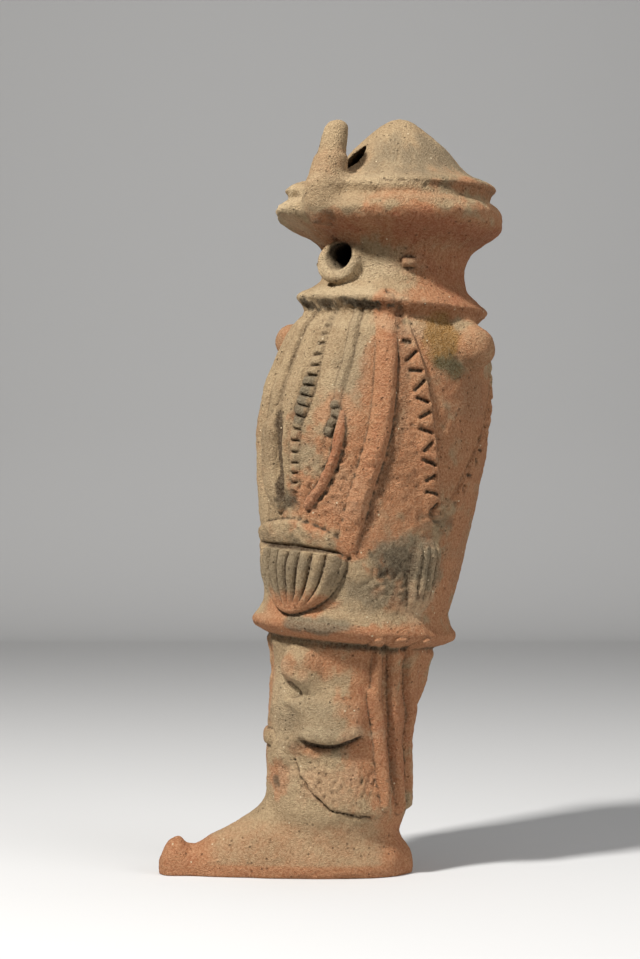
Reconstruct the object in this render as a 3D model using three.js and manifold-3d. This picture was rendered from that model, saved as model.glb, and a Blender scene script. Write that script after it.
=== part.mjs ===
// A fired terracotta figure: a capped, armless body on one leg, which stands on a boot with a curled toe.
// It is one piece of clay, with coils, notched bands, tassels and a fluted pouch pressed on.
// Millimetres, +Z up. The figure faces -Y, and its left side is +X. The origin is under its leg, on the sole.
// Angles go round the figure in degrees, from 0 at its front towards +X.
// Heights up the figure, and the sizes of its body and foot, are in percent of HEIGHT. Other sizes are in mm.

import * as THREE from "three";
import { mergeVertices } from "three/addons/utils/BufferGeometryUtils.js";
import Module from "manifold-3d";

const wasm = await Module();
wasm.setup();

const HEIGHT = 345;
const percent = HEIGHT / 100;
const radians = THREE.MathUtils.degToRad;

// The leg, body, neck and cap as turned: [height, radius], from inside the boot to the top of the cap.
const PROFILE = [
  [0.8, 6.2], [6, 8.3], [9, 9.3], [14, 9.2], [21, 9.5], [27.4, 9.9], [30.4, 11], [31.6, 12.4],
  [32.8, 13.1], [33.9, 12.7], [35.2, 12.2], [39, 12.7], [45, 13.5], [51, 14.1], [57.5, 14.7], [63, 14.3],
  [67.5, 13.5], [71.4, 12.3], [73.4, 11.1], [75.2, 12.4], [76.4, 11.1], [78, 9.6], [80.2, 9.3], [82.3, 9.8],
  [84, 11.8], [85.6, 14.2], [86.9, 14.8], [88, 14.1], [89, 12.9], [90.3, 13], [91.2, 12], [91.9, 10.4],
  [92.8, 8.9], [95.4, 6.6], [97.8, 4.1], [99.2, 2.2], [99.8, 1],
];
const SKIN_COLUMNS = 28;

// By height: how far the middle leans back, how far the rings tip back in degrees, and how flat the sides are.
const LEAN = [
  [0, 0], [16, -0.2], [28, 1.6], [34, 2.3], [47, 3.9], [63, 5.6], [73, 7.3], [81, 7.5], [84, 8], [87, 6.9],
  [93, 8.1], [100, 8.3],
];
const TIP = [[0, 0], [14, 0], [30, 5], [75, 5], [82, 2], [91, 0], [100, 0]];
const FLATNESS = [[0, 0.14], [25, 0.1], [36, 0.04], [100, 0.03]];
const LEAN_ANGLE = 132;

// The boot's foot, from heel to toe: [distance from the middle of the leg, half width, top, lift of the sole].
const FOOT = [
  [-9.9, 0.9, 2, 0.4], [-9.6, 2.6, 2.9, 0], [-8.4, 4.3, 4.6, 0], [-6.4, 6, 6.4, 0],
  [-2.9, 7, 8.1, 0], [1.7, 7, 9.6, 0], [6.4, 6.4, 10.1, 0], [9.6, 5.9, 9.3, 0],
  [11.9, 5.1, 7.7, 0], [14.5, 4.5, 6.2, 0], [17.1, 3.8, 4.9, 0], [19.3, 3, 3.8, 0],
  [20.1, 2.8, 3.9, 0], [21.3, 2.7, 4.9, 0], [22.5, 2.5, 4.3, 0], [23.3, 1.9, 2.9, 0.1],
  [23.8, 0.7, 1.7, 0.4],
];
const FOOT_ANGLE = -43;
const SOLE_EDGE = 4;
const FOOT_COLUMNS = 14;

// Rolled clay pressed on: width across, and how far it stands out.
const FRAME_COIL = { width: 8.6, height: 3.6 };
const THIN_COIL = { width: 4.6, height: 1.8 };
const CURTAIN = { width: 11, height: 4.6 };
const BAND = { width: 10.6, height: 3.2 };
const BEADS = { width: 6.4, height: 2.8 };
const STRAND = { width: 7.4, height: 3.8 };
const GARTER = { width: 9, height: 3.6 };
const EYE = { width: 3.6, height: 2.4 };
const POUCH_LID = { width: 7.6, height: 6.4 };

const ROLL_SIDES = 6;

// Pinches across a band, and between the beads: their spacing, how thin they leave it, and their slant.
const NOTCH = { pitch: 8.2, thin: 0.55, slant: 26 };
const BEAD_GAP = { pitch: 5.2, thin: 0.5, slant: 0 };
const EYE_LINE = { width: 1.4, length: 7.5, depth: 1.6, offset: 1.1 };

// Where the pressed-on clay runs, as [angle, height].
const BEAD_LINE = [[-4, 74.4], [-1, 69.5], [1, 64.5], [0, 60], [-1, 55.5], [-2, 52], [-3.5, 48.6]];
const RIGHT_FRAME = [[-15, 74], [-17, 69.5], [-22, 64.5], [-28, 59.5], [-32, 54.5], [-29, 50.8], [-18, 47.4]];
const LEFT_FRAME = [[14, 74], [18, 69.5], [20, 64], [21.5, 59], [21.5, 55.5], [18, 51.8], [9.5, 48.8]];
const THIN_LINE = [[-9.5, 73.7], [-8.5, 69], [-10, 63], [-11, 57], [-12, 53]];
const CURTAIN_LINE = [[34, 74.4], [38, 69.5], [41, 63.5], [41.5, 57], [40, 51.5], [37, 46.5], [33, 43]];
const FRONT_BAND = [[47, 74], [52, 70], [58, 66], [64.5, 61], [69.5, 56], [73.5, 51], [75.5, 46.5]];
const BACK_BAND = [[140, 73.5], [131, 70], [121.5, 65.5], [112, 60], [104.5, 56], [95, 52], [84, 48.2]];
const POUCH_LID_LINE = [[-36, 43.6], [-20, 44.6], [-4, 44.4], [12, 45.2], [26, 44.2], [35, 42.6]];
const GARTER_LINE = [[-62, 19], [-40, 18.6], [-20, 18], [0, 18.6], [22, 19.4], [42, 19.4], [56, 20.4]];
const STRAND_LINES = [
  [[57, 30.4], [62, 25], [69, 20], [76, 14.5], [84, 10]],
  [[69, 30.6], [76, 25], [85, 20], [94, 14.5], [103, 9.4]],
  [[112, 30.6], [118, 25], [124, 20], [129, 14.5], [132, 8.4]],
];
const EYE_SPOT = { angle: 51, at: 80.3, half: 5.5 };

// Pads of clay: the middle's angle, the top and bottom heights, the width, and how far each stands out.
const POUCH = { angle: -1, top: 43.6, bottom: 34.2, width: 54, out: 8.2, ribs: 8, groove: 1.7 };
const TASSEL = { angle: 78, top: 46, bottom: 35.2, width: 15, out: 4.4, ribs: 4, groove: 1.2 };

// Lumps and folds of clay on the leg, and the mass round the peg's foot.
const LUMPS = [
  { angle: -12, at: 88.8, width: 56, tall: 19, out: 6.5 },
  { angle: -2, at: 26.8, width: 17, tall: 18, out: 5.4 },
  { angle: 16, at: 22.3, width: 36, tall: 8, out: 3.4 },
  { angle: -18, at: 16, width: 20, tall: 15, out: 3.4 },
];

// The knobs at the shoulders, on the figure's left and right. The right one is smaller.
const KNOBS = [{ angle: 96, at: 70.4, width: 21.6, out: 0.6 }, { angle: -76, at: 69.8, width: 17, out: 7 }];
const MOUTH = { width: 14, height: 11, lip: 4, spout: 8, depth: 26, at: 80 };
const VENT = { width: 8.5, height: 11, depth: 11, at: 93.4 };

// The peg on the front of the cap: [height, radius], and the angle and distance at which it stands.
const PEG = [
  [85, 8], [87.5, 11], [90, 10], [92, 8.4], [93.6, 7.6], [94.4, 6.5], [96, 6], [97.5, 5], [98.3, 3.4],
];
const PEG_ANGLE = -4;
const PEG_OUT = 43.5;

const CLAY = new THREE.MeshStandardMaterial({ color: 0xb98a66, roughness: 0.95, metalness: 0 });

// A smooth curve through rising [at, value] pairs, which never swings past them.
function smooth(pairs) {
  const rise = (i) => (pairs[i + 1][1] - pairs[i][1]) / (pairs[i + 1][0] - pairs[i][0]);
  const slopes = pairs.map((pair, i) => {
    const before = rise(Math.max(i - 1, 0));
    const after = rise(Math.min(i, pairs.length - 2));
    return before * after > 0 ? (2 * before * after) / (before + after) : 0;
  });
  return (x) => {
    const i = Math.max(0, pairs.findLastIndex(([at], k) => at <= x && k < pairs.length - 1));
    const span = pairs[i + 1][0] - pairs[i][0];
    const t = THREE.MathUtils.clamp((x - pairs[i][0]) / span, 0, 1);
    const ease = t * t * (3 - 2 * t);
    const bend = slopes[i] * t * (1 - t) ** 2 - slopes[i + 1] * t * t * (1 - t);
    return THREE.MathUtils.lerp(pairs[i][1], pairs[i + 1][1], ease) + bend * span;
  };
}

const bodyRadius = smooth(PROFILE);
const bodyLean = smooth(LEAN);
const bodyTip = smooth(TIP);
const bodyFlatness = smooth(FLATNESS);
const outward = (angle) => new THREE.Vector3(Math.sin(radians(angle)), -Math.cos(radians(angle)), 0);
const leanWay = outward(LEAN_ANGLE);

// The figure's middle at a height.
function middle(height) {
  return leanWay.clone().multiplyScalar(bodyLean(height) * percent).setZ(height * percent);
}

// A point on the bare body, at an angle and a height, moved out by lift.
function skin(angle, height, lift = 0) {
  const away = outward(angle);
  const side = Math.sin(radians(angle - FOOT_ANGLE));
  const radius = bodyRadius(height) * percent * (1 - bodyFlatness(height) * side * side) + lift;
  const drop = Math.tan(radians(bodyTip(height))) * radius * away.dot(leanWay);
  const point = middle(height).addScaledVector(away, radius);
  return point.setZ(point.z - drop);
}

// Three.js geometry, with each of its points moved by place, as a solid that can be joined and cut.
function mould(geometry, place) {
  const points = geometry.getAttribute("position");
  for (let i = 0; i < points.count; i += 1) {
    const moved = place(new THREE.Vector3().fromBufferAttribute(points, i));
    points.setXYZ(i, moved.x, moved.y, moved.z);
  }
  geometry.deleteAttribute("normal");
  geometry.deleteAttribute("uv");
  const merged = mergeVertices(geometry, 1e-3);
  return new wasm.Manifold(new wasm.Mesh({
    numProp: 3,
    vertProperties: Float32Array.from(merged.getAttribute("position").array),
    triVerts: Uint32Array.from(merged.getIndex().array),
  }));
}

// A closed form of rings: place gives the point of a ring, from 0 to rings - 1, at a turn in degrees.
// The ends close on their rings' middles.
function ringed(rings, columns, place) {
  const geometry = new THREE.SphereGeometry(1, columns, rings + 1);
  return mould(geometry, (p) => {
    const row = Math.round((Math.acos(THREE.MathUtils.clamp(-p.y, -1, 1)) / Math.PI) * (rings + 1));
    const ring = THREE.MathUtils.clamp(row - 1, 0, rings - 1);
    if (row === 0 || row === rings + 1) {
      return place(ring, 0).add(place(ring, 180)).multiplyScalar(0.5);
    }
    return place(ring, THREE.MathUtils.radToDeg(Math.atan2(p.x, p.z)));
  });
}

function body() {
  return ringed(PROFILE.length, SKIN_COLUMNS, (ring, turn) => skin(turn, PROFILE[ring][0]));
}

// The boot's foot, rounded above and flat below, along FOOT_ANGLE.
function foot() {
  return ringed(FOOT.length, FOOT_COLUMNS, (ring, turn) => {
    const [distance, halfWidth, top, lift] = FOOT[ring].map((share) => share * percent);
    const up = Math.cos(radians(turn));
    const edge = Math.min(SOLE_EDGE, top / 2);
    const under = up < -0.01;
    const across = halfWidth * Math.sin(radians(turn)) * (under ? 0.94 : 1);
    return outward(FOOT_ANGLE).multiplyScalar(distance)
      .addScaledVector(outward(FOOT_ANGLE - 90), across)
      .setZ(under ? lift : edge + (top - edge) * up);
  });
}

// A path on the skin through [angle, height] points: where it is at t from 0 to 1, and which way it goes there.
function skinPath(points) {
  const curve = new THREE.CatmullRomCurve3(points.map(([angle, height]) => new THREE.Vector3(angle, height, 0)));
  const onSkin = (t) => {
    const spot = curve.getPoint(THREE.MathUtils.clamp(t, 0, 1));
    return { spot, place: skin(spot.x, spot.y) };
  };
  const length = new THREE.CatmullRomCurve3(points.map(([angle, height]) => skin(angle, height))).getLength();
  return {
    length,
    at(t) {
      const { spot, place } = onSkin(t);
      const along = onSkin(t + 0.01).place.sub(onSkin(t - 0.01).place).normalize();
      const round = skin(spot.x + 1, spot.y).sub(skin(spot.x - 1, spot.y));
      const up = skin(spot.x, spot.y + 0.5).sub(skin(spot.x, spot.y - 0.5));
      const out = round.cross(up).normalize();
      return { place, along, out, side: along.clone().cross(out).normalize() };
    },
  };
}

// A roll of clay with round ends, half sunk in the body along a path. A pinch, if any, is made at each pitch.
function roll(points, { width, height }, steps = 7, pinch = null) {
  const path = skinPath(points);
  const end = width / 2 / path.length;
  const rings = pinch ? 2 * Math.round(path.length / pinch.pitch) : steps;
  const geometry = new THREE.CapsuleGeometry(1, 2, 1, ROLL_SIDES, rings);
  return mould(geometry, (p) => {
    const past = Math.sign(p.y) * Math.max(0, Math.abs(p.y) - 1);
    const ring = Math.round(((1 + p.y - past) / 2) * rings);
    const pinched = pinch && past === 0 && ring % 2 === 0;
    const scale = pinched ? pinch.thin : 1;
    const slip = pinched ? p.x * Math.tan(radians(pinch.slant)) * (width / 2 / path.length) : 0;
    const t = 0.5 + (p.y - past) * (0.5 - end) + past * end + slip;
    const { place, out, side } = path.at(t);
    return place.addScaledVector(out, p.z * height * scale)
      .addScaledVector(side, (p.x * width * (1 + scale)) / 4);
  });
}

// A wedge that cuts a notch across the skin, from just above the surface down by depth.
function wedge(place, out, across, { width, depth, length }) {
  const beyond = 2;
  const over = out.clone().cross(across).normalize();
  const half = ((width / 2) * (depth + beyond)) / depth / Math.sin(radians(120));
  return mould(new THREE.CylinderGeometry(1, 1, 1, 3, 1), (p) => {
    const up = ((1 - p.z) / 1.5) * (depth + beyond) - depth;
    return place.clone().addScaledVector(out, up).addScaledVector(over, p.x * half)
      .addScaledVector(across, p.y * length);
  });
}

// A pad of clay on the skin, domed, with ribs that follow its outline and meet at its narrow end.
function pad({ angle, top, bottom, width, out, ribs = 4, groove = 0 }, outline, rows = 4) {
  return mould(new THREE.BoxGeometry(2, 2, 2, ribs * 2, rows, 1), (p) => {
    const down = (1 - p.y) / 2;
    const height = THREE.MathUtils.lerp(top, bottom, down);
    const half = THREE.MathUtils.radToDeg(width / 2 / (bodyRadius(height) * percent));
    const dome = Math.sqrt(Math.max(0, 1 - p.x ** 4)) * Math.sqrt(outline(down));
    const rib = Math.abs(Math.sin((p.x * ribs * Math.PI) / 2));
    const lift = p.z > 0 ? (out - groove * (1 - rib)) * dome : -2;
    return skin(angle + p.x * half * outline(down), height, lift);
  });
}

const pouchOutline = (down) => Math.sqrt(Math.max(0.004, 1 - down ** 2.2));
const tasselOutline = (down) => 0.72 + 0.28 * Math.sin(Math.PI * down);

// A ball, or what place makes of one.
const ball = (place) => mould(new THREE.SphereGeometry(1, 12, 7), place);

// A flattened ball on the skin.
function lump({ angle, at, width, tall, out }) {
  const half = THREE.MathUtils.radToDeg(width / 2 / (bodyRadius(at) * percent));
  return ball((p) => skin(angle + p.x * half, at + (p.y * tall) / 2 / percent, p.z * out));
}

function knob({ angle, at, width, out }) {
  const centre = skin(angle, at, out);
  return ball((p) => p.multiplyScalar(width / 2).add(centre));
}

// A straight bar of oval section, out from the figure's front, from one distance to another.
function frontBar(at, from, to, halfWidth, halfHeight, flare = 1) {
  const centre = middle(at);
  const out = outward(0);
  const across = outward(-90);
  return mould(new THREE.CylinderGeometry(1, 1, 1, 12, 1), (p) => {
    const wide = p.y > 0 ? flare : 1;
    return centre.clone().addScaledVector(out, p.y > 0 ? to : from)
      .addScaledVector(across, p.x * halfWidth * wide)
      .add(new THREE.Vector3(0, 0, p.z * halfHeight * wide));
  });
}

const neckRadius = bodyRadius(MOUTH.at) * percent;
const mouthFront = neckRadius + MOUTH.spout;

function spout() {
  return frontBar(MOUTH.at, neckRadius / 2, mouthFront, MOUTH.width / 2 + MOUTH.lip, MOUTH.height / 2 + MOUTH.lip);
}

function mouthHole() {
  const [half, tall] = [MOUTH.width / 2, MOUTH.height / 2];
  const bore = frontBar(MOUTH.at, mouthFront - MOUTH.depth, mouthFront + 1, half, tall);
  return bore.add(frontBar(MOUTH.at, mouthFront - MOUTH.spout, mouthFront + 0.5, half, tall, 1.3));
}

// The peg that stands on the front of the cap, thick at its foot.
function peg() {
  const stand = middle(VENT.at).addScaledVector(outward(PEG_ANGLE), PEG_OUT);
  return ringed(PEG.length, 10, (ring, turn) => {
    const [height, radius] = PEG[ring];
    return outward(turn).multiplyScalar(radius).add(stand).setZ(height * percent);
  });
}

// The vent in the cap behind the peg.
function vent() {
  const radius = bodyRadius(VENT.at) * percent;
  return frontBar(VENT.at, radius - VENT.depth, radius + 4, VENT.width / 2, VENT.height / 2);
}

function eye(side) {
  const { angle, at, half } = EYE_SPOT;
  const lines = [-1, 1].map((way) => {
    const { place, along, out } = skinPath([[side * angle, at - 1], [side * angle, at + 1]]).at(0.5);
    const across = along.clone().cross(out);
    const shift = way * (EYE.width / 2 + EYE_LINE.offset / 2);
    return wedge(place.addScaledVector(along, shift), out, across, EYE_LINE);
  });
  return { lid: roll([[side * angle - half, at], [side * angle + half, at]], EYE, 1), lines };
}

const mirrored = (points) => points.map(([angle, height]) => [-angle, height]);
const join = (solids) => solids.reduce((all, one) => all.add(one));
const carve = (whole, cuts) => cuts.reduce((all, one) => all.subtract(one), whole);

function front() {
  return [
    roll(RIGHT_FRAME, FRAME_COIL),
    roll(LEFT_FRAME, FRAME_COIL),
    roll(THIN_LINE, THIN_COIL, 4),
    roll(BEAD_LINE, BEADS, 0, BEAD_GAP),
    pad(POUCH, pouchOutline, 6),
    roll(POUCH_LID_LINE, POUCH_LID, 5),
    roll(GARTER_LINE, GARTER, 6),
    ...LUMPS.map(lump),
  ];
}

// The clay on one side, for side 1, or on the other, for side -1.
function flank(side) {
  const turned = (points) => (side > 0 ? points : mirrored(points));
  return [
    roll(turned(CURTAIN_LINE), CURTAIN),
    roll(turned(FRONT_BAND), BAND, 0, NOTCH),
    roll(turned(BACK_BAND), BAND, 0, NOTCH),
    pad({ ...TASSEL, angle: side * TASSEL.angle }, tasselOutline),
    ...STRAND_LINES.map((line) => roll(turned(line), STRAND, 4)),
  ];
}

function figure() {
  const eyes = [eye(1), eye(-1)];
  const clay = join([
    body(), foot(), spout(), peg(), ...front(), ...flank(1), ...flank(-1), ...KNOBS.map(knob),
    ...eyes.map(({ lid }) => lid),
  ]);
  return carve(clay, [mouthHole(), vent(), ...eyes.flatMap(({ lines }) => lines)]);
}

// The solid as a three.js geometry.
function geometryOf(solid) {
  const { vertProperties, triVerts } = solid.getMesh();
  const geometry = new THREE.BufferGeometry();
  geometry.setAttribute("position", new THREE.BufferAttribute(vertProperties, 3));
  geometry.setIndex(new THREE.BufferAttribute(triVerts, 1));
  return geometry;
}

const piece = new THREE.Mesh(geometryOf(figure()), CLAY);
piece.name = "terracotta_figure";
const model = new THREE.Group();
model.add(piece);
export default model;
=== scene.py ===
"""A fired terracotta figure with its carving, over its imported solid, on a pale sweep in soft studio light.

Lengths in the clay's own measures are in millimetres, and Blender's are in metres. The figure faces -Y.
Angles go round the figure in degrees, from 0 at its front towards +X, and heights are in percent of HEIGHT.
"""

import math
from concurrent.futures import ThreadPoolExecutor

import bpy
import numpy as np
import openvdb
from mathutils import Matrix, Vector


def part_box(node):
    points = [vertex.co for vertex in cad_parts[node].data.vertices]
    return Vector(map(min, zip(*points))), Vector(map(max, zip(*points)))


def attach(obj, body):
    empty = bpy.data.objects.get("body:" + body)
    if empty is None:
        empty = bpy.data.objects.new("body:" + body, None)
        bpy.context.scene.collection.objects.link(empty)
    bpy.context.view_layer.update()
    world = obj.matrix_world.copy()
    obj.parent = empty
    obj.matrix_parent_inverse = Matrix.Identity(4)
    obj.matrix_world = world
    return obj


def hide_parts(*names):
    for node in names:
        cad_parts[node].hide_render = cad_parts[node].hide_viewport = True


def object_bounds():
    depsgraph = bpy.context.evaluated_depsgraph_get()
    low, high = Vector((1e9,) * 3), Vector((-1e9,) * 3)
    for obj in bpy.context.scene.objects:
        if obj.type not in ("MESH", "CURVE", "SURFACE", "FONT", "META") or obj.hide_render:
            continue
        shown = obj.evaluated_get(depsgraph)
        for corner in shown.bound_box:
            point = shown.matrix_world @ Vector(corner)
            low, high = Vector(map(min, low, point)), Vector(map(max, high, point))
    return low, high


bl_info = {
    "name": "Terracotta Figure",
    "version": (1, 0, 0),
    "blender": (4, 5, 0),
    "location": "View3D > Sidebar > Clay",
    "description": "Models a hand-built terracotta figure, its fired clay and a studio for it",
    "category": "Object",
}

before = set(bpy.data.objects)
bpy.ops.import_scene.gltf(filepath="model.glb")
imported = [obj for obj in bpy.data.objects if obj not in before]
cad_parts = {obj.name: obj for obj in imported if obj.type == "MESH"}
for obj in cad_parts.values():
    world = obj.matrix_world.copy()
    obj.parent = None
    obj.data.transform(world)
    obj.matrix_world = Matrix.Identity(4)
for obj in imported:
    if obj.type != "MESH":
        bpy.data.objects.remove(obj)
CAD_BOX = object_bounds()
NODE = "terracotta_figure"

MM = 0.001
TOP_SHARE = 99.8
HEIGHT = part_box(NODE)[1][2] / MM / TOP_SHARE * 100
PERCENT = HEIGHT / 100

# The leg, body, neck and cap as turned: (height, radius).
PROFILE = (
    (0.8, 6.2), (6, 8.3), (9, 9.3), (14, 9.2), (21, 9.5), (27.4, 10), (30.4, 11), (31.6, 12.4),
    (32.8, 13.1), (33.9, 12.7), (35.2, 12.2), (39, 12.7), (45, 13.5), (51, 14.1), (57.5, 14.7), (63, 14.3),
    (67.5, 13.5), (71.4, 12.3), (73.4, 11.1), (75.2, 12.4), (76.4, 11.1), (78, 9.6), (80.2, 9.3), (82.3, 9.8),
    (84, 11.8), (85.6, 14.2), (86.9, 14.8), (88, 14.1), (89, 12.9), (90.3, 13), (91.2, 12), (91.9, 10.4),
    (92.8, 8.9), (95.4, 6.6), (97.8, 4.1), (99.2, 2.2), (99.8, 1), (100, 0),
)
LEAN = (
    (0, 0), (16, -0.2), (28, 1.6), (34, 2.3), (47, 3.9), (63, 5.6), (73, 7.3), (81, 7.5), (84, 8), (87, 6.9),
    (93, 8.1), (100, 8.3),
)
TIP = ((0, 0), (14, 0), (30, 5), (75, 5), (82, 2), (91, 0), (100, 0))
FLATNESS = ((0, 0.14), (25, 0.1), (36, 0.04), (100, 0.03))
LEAN_ANGLE = 132

# The foot from heel to toe: (distance from the leg, half width) and (distance from the leg, top).
FOOT_HALF = (
    (-9.9, 0.9), (-9.6, 2.6), (-8.4, 4.3), (-6.4, 6), (-2.9, 7), (1.7, 7), (6.4, 6.4), (9.6, 5.9),
    (11.9, 5.1), (14.5, 4.5), (17.1, 3.8), (19.3, 3), (20.1, 2.8), (21.3, 2.7), (22.5, 2.5), (23.3, 1.9),
    (23.8, 0.7),
)
FOOT_TOP = (
    (-9.9, 2), (-9.6, 2.9), (-8.4, 4.6), (-6.4, 6.4), (-2.9, 8.1), (1.7, 9.6), (6.4, 10.1), (9.6, 9.3),
    (11.9, 7.7), (14.5, 6.2), (17.1, 4.9), (19.3, 3.8), (20.1, 3.9), (21.3, 4.9), (22.5, 4.3), (23.3, 2.9),
    (23.8, 1.7),
)
FOOT_ANGLE = -43
SOLE_EDGE = 4

# The clay pressed on, as paths of (angle, height). Those of the sides are mirrored for the other side.
PANEL_GROOVE = ((-21.5, 74), (-22, 71.8), (-20.6, 68.7), (-19.2, 65.6), (-19, 62.4), (-18, 59), (-15, 56.5))
FRAME_TOP = ((-27, 74.2), (-27.5, 71.8), (-26.4, 68.7), (-25.2, 65.6), (-25.2, 62.4), (-25, 60))
FRAME_COIL = ((-20.5, 60), (-23, 58), (-24.5, 56), (-24, 53.6), (-22, 51), (-17.5, 48.8), (-14.5, 47.8))
FRAME_CREASE = ((-17.6, 59.6), (-15.4, 57), (-14.4, 53.6), (-13.8, 51), (-12.5, 48.5), (-11.5, 47.4))
THIN_STRIP = (
    (-12.5, 73.8), (-10.6, 70.6), (-8.6, 66.6), (-8, 63.4), (-9.5, 60), (-11, 57), (-10.6, 53), (-9, 50),
)
BEAD_LINE = (
    (-4.6, 74), (-2.7, 71.8), (-1.8, 69.5), (-1, 67.8), (0.1, 66), (0.1, 63.8), (-0.2, 62.3), (-1.7, 60.1),
    (-3.3, 57.8), (-3.7, 55.6), (-3.8, 53.5), (-3.5, 51.4), (-3, 49.6),
)
GREY_RIDGE = ((15.4, 74.5), (17.4, 70.1), (19, 67.2), (18.7, 64.1), (18.6, 61.8))
GREY_BEADS = ((17.6, 61.2), (18.8, 60), (17.5, 58.8), (16.8, 57.7))
SPLIT_RIDGE = ((13.6, 58.6), (11.9, 56.1), (10.4, 53.5), (7.5, 51.6), (2.6, 50.3), (0, 49.3))
BENT_COIL = ((21, 60), (22.4, 58.2), (22, 56), (20, 53.9), (15.2, 51.2), (11, 49.6), (6.6, 48.2))
PANEL_SEAM = ((29.5, 74), (32, 70), (34.4, 66), (35, 62), (34.5, 57.5), (31.5, 53), (28, 48.5), (25, 45))
CURTAIN_RIDGE = (
    (36, 74.9), (39.4, 70.5), (43, 66.3), (44.6, 62.9), (44.4, 58.8), (42, 54.9), (38.8, 51.4), (35.8, 47.5),
    (33.6, 43.4),
)
CURTAIN_GROOVE = (
    (43, 74.4), (47.4, 70.7), (51.4, 66.5), (53.4, 63.1), (53, 59.2), (50.6, 55), (47, 51.1), (42.6, 47.2),
    (39, 43.7),
)
FRONT_BAND = (
    (50, 74.2), (51.3, 71.8), (55.5, 69.7), (60.3, 67.3), (65, 64.6), (68.2, 62), (70.6, 59), (73.5, 56),
    (76.5, 53.3), (79.5, 51.2), (82, 49),
)
BACK_BAND = ((83, 49.5), (91, 51), (98, 54.5), (106, 58), (115, 61), (124, 64.5), (132, 68.5), (140, 73.5))
LID_EDGE = ((-48, 43.6), (-31, 44.5), (-15, 45.2), (-3, 45.4), (10, 44.9), (22, 43.9), (34, 42.4))
LID_CREASE = ((-46, 42.9), (-16, 42.7), (10, 42.7), (24, 42.5), (33, 41.8))
LEDGE_GROOVE = ((40, 89.5), (66, 89.6), (90, 89.6), (120, 89.6), (150, 89.6))
LEDGE_RIDGE = ((16, 90.8), (40, 91.1), (66, 91), (90, 90.9), (120, 90.8), (150, 90.6))
GARTER_LINE = ((-62, 18.4), (-40, 18), (-26, 18), (-18, 17.7))
LOWER_FOLD = ((6, 18.9), (18, 18.3), (35, 17.9), (50, 18.5), (66, 19.7))
BELT = ((-179, 32.1), (-90, 32.1), (0, 32.1), (90, 32.1), (179, 32.1))
CRACK = ((3, 15.6), (8, 13.6), (13, 12.7), (19, 11.4), (29, 10.1), (35, 9.2), (50, 8.7), (60, 8.4), (72, 8.2))
STRANDS = (
    (7.4, ((56.7, 31), (61, 28), (67, 24), (76.5, 20.2), (81.5, 17), (84.5, 14), (87, 9.6))),
    (9.4, ((70.5, 31), (81, 25), (91, 20.9), (99, 16), (102, 12.9), (105, 9.2))),
    (9.4, ((88, 31), (97, 26), (113, 20.8), (120, 15.8), (124, 9.4))),
)
STRAND_GROOVES = (
    ((56, 30.6), (57, 27.5), (60, 25.5)),
    ((64.8, 30.6), (74.5, 25.2), (83.4, 20.9), (90.7, 16.1), (92.4, 13.8), (97, 9.6)),
    ((79.3, 30.6), (88.7, 26), (105.1, 20.8), (110.8, 15.8), (117, 9.6)),
)


def radians(angle):
    return angle * math.pi / 180


def outward(angle):
    """The level direction that faces away from the figure at an angle."""
    return np.array((math.sin(radians(angle)), -math.cos(radians(angle))))


LEAN_WAY = outward(LEAN_ANGLE)


def smooth(pairs):
    """A smooth curve through rising (at, value) pairs, which never swings past them."""
    at, value = np.array(pairs, float).T
    rise = np.diff(value) / np.diff(at)
    before, after = np.append(rise[0], rise), np.append(rise, rise[-1])
    same_way = before * after > 0
    slope = np.where(same_way, 2 * before * after / np.where(same_way, before + after, 1), 0)
    x = np.linspace(at[0], at[-1], 3000)
    i = np.clip(np.searchsorted(at, x, side="right") - 1, 0, len(at) - 2)
    span = at[i + 1] - at[i]
    t = (x - at[i]) / span
    curve = value[i] + (value[i + 1] - value[i]) * t * t * (3 - 2 * t)
    curve += (slope[i] * t * (1 - t) ** 2 - slope[i + 1] * t * t * (1 - t)) * span
    return lambda at_x: np.interp(at_x, x, curve)


body_radius = smooth(PROFILE)
body_lean = smooth(LEAN)
body_tip = smooth(TIP)
body_flatness = smooth(FLATNESS)
foot_half = smooth(FOOT_HALF)
foot_top = smooth(FOOT_TOP)


def skin_radius(angle, height):
    """The bare body's radius in mm, at an angle and a height."""
    side = np.sin(radians(angle - FOOT_ANGLE))
    return body_radius(height) * PERCENT * (1 - body_flatness(height) * side * side)


def skin(angle, height, lift=0.0):
    """A point on the bare body in mm, moved out by lift."""
    radius = skin_radius(angle, height) + lift
    level = LEAN_WAY * body_lean(height) * PERCENT + outward(angle) * radius
    drop = math.tan(radians(body_tip(height))) * radius * float(outward(angle) @ LEAN_WAY)
    return np.array((*level, height * PERCENT - drop))


def unwrap(x, y, z):
    """The angle and height of points on the body, and their distance from its middle, in mm."""
    height = z / PERCENT
    for _ in range(3):
        lean = body_lean(height) * PERCENT
        dx, dy = x - lean * LEAN_WAY[0], y - lean * LEAN_WAY[1]
        height = (z + np.tan(radians(body_tip(height))) * (dx * LEAN_WAY[0] + dy * LEAN_WAY[1])) / PERCENT
    return np.degrees(np.arctan2(dx, -dy)), height, np.hypot(dx, dy)


# The relief map: how far the carving stands out of the bare body, by height in rows and angle in columns.
ROW_STEP = 0.3
COLUMN_STEP = 0.2
ROWS = np.arange(0, HEIGHT, ROW_STEP)
COLUMNS = np.arange(-180, 180, COLUMN_STEP)
ROW_RADIUS = body_radius(ROWS / PERCENT) * PERCENT


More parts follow.
